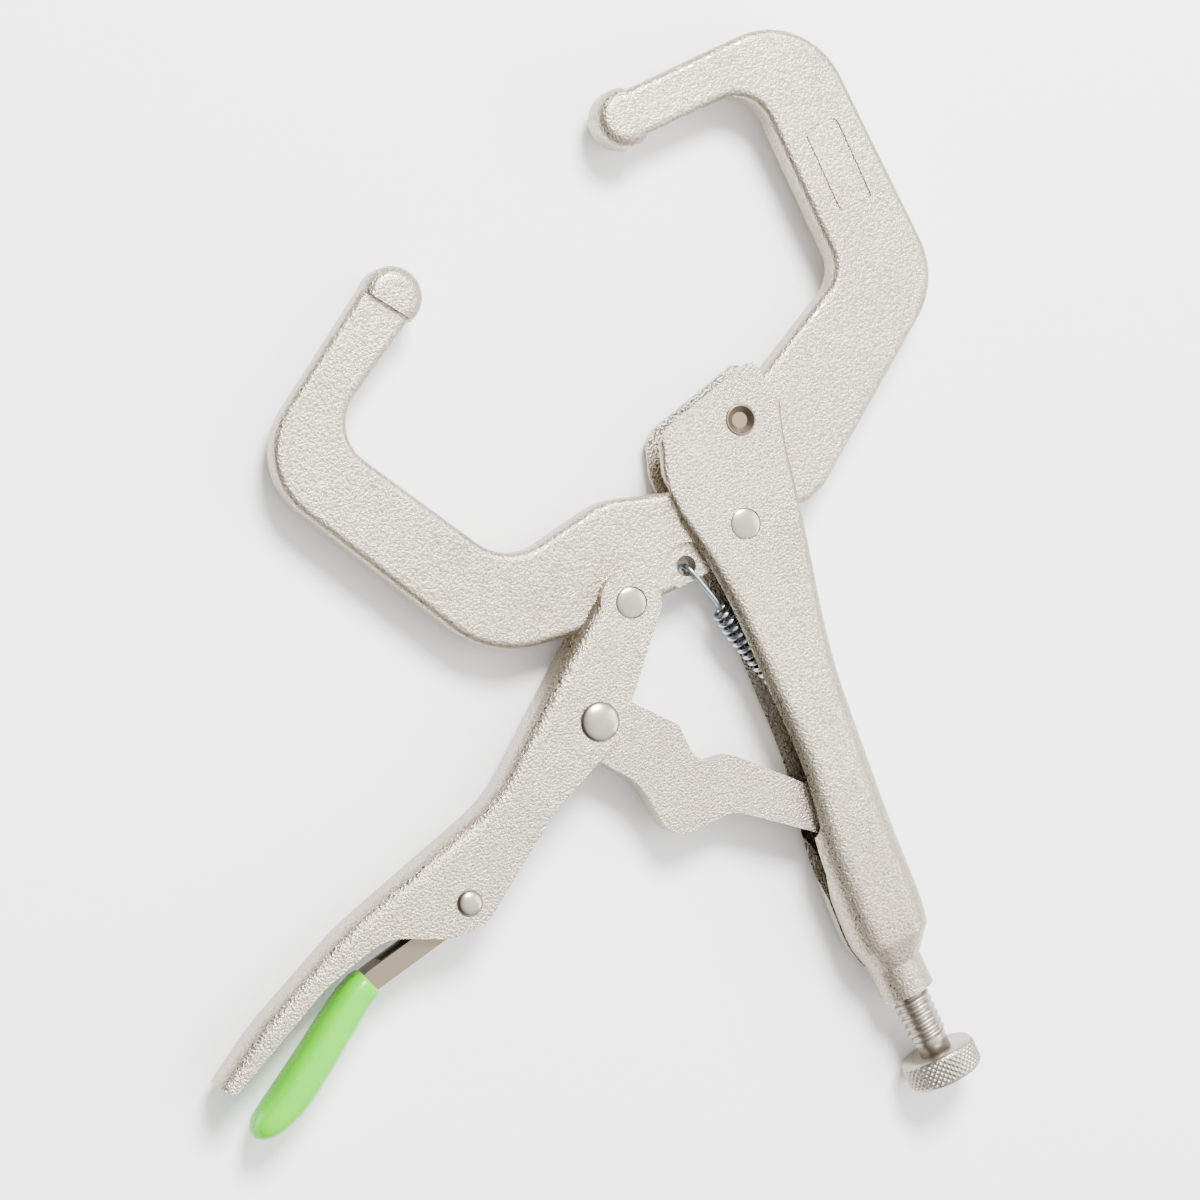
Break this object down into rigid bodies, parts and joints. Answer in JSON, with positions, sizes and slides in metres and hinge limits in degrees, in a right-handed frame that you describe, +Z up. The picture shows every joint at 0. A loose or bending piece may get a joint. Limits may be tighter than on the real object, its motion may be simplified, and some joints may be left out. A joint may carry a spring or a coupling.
{
  "type": "locking pliers",
  "caption": "C-clamp locking pliers with over-centre toggle linkage, screw adjustment, release lever and return spring.",
  "frame": {"origin": "middle of the base of the bounding box, the tool lying flat", "axes": "+Y along the adjusting screw towards the jaws, +Z up across the tool's thickness"},
  "size_m": [0.1612, 0.1664, 0.013],
  "materials": {
    "nickel_sheet": "satin nickel plate, blasted grain",
    "nickel_forging": "satin nickel plate over a forging",
    "nickel_plate": "satin nickel plate",
    "green_vinyl": "glossy dipped vinyl",
    "screw_steel": "plain steel",
    "spring_wire": "zinc plated wire",
    "rivet_steel": "smooth plated"
  },
  "bodies": {
    "fixed_handle": {"fixed_handle": "nickel_sheet", "fixed_jaw": "nickel_forging", "jaw_pivot_rivet": "rivet_steel", "front_rivet": "rivet_steel", "return_spring": "spring_wire"},
    "moving_jaw": {"moving_jaw": "nickel_forging", "lever_pivot_rivet": "rivet_steel"},
    "lever": {"lever_handle": "nickel_sheet", "link_pivot_rivet": "rivet_steel", "release_pin": "rivet_steel"},
    "link": {"toggle_link": "nickel_plate"},
    "release": {"release_lever": "nickel_plate", "release_sleeve": "green_vinyl"},
    "screw": {"adjusting_screw": "screw_steel"},
    "knob": {"adjusting_knob": "screw_steel"}
  },
  "joints": [
    {"name": "jaw_hinge", "type": "hinge", "parent": "fixed_handle", "child": "moving_jaw", "pos_m": [0.03282, 0.01273, 0.0065], "axis": [0, 0, -1], "range_deg": [0, 33], "stiffness_Nm_per_rad": 0.05, "springref_deg": -57.3, "deforming": ["return_spring"]},
    {"name": "lever_hinge", "type": "hinge", "parent": "moving_jaw", "child": "lever", "pos_m": [0.01042, 0.00993, 0.0065], "axis": [0, 0, 1], "range_deg": [0, 87.6]},
    {"name": "link_hinge", "type": "hinge", "parent": "lever", "child": "link", "pos_m": [-0.00238, -0.00447, 0.0065], "axis": [0, 0, -1], "range_deg": [0, 83.4]},
    {"name": "release_hinge", "type": "hinge", "parent": "lever", "child": "release", "pos_m": [-0.03348, -0.02017, 0.0065], "axis": [0, 0, -1], "range_deg": [0, 5]},
    {"name": "screw_slide", "type": "slide", "parent": "fixed_handle", "child": "screw", "axis": [0, -1, 0], "range_m": [0, 0.0127]},
    {"name": "knob_turn", "type": "hinge", "parent": "screw", "child": "knob", "pos_m": [0.02582, -0.08077, 0.0065], "axis": [0, -1, 0], "range_deg": [0, 3601]}
  ],
  "couplings": [
    {"joint": "lever_hinge", "follows": "jaw_hinge", "ratio": 2.6485},
    {"joint": "link_hinge", "follows": "jaw_hinge", "ratio": 2.5212},
    {"joint": "knob_turn", "follows": "screw_slide", "rad_per_m": 4947.4}
  ]
}
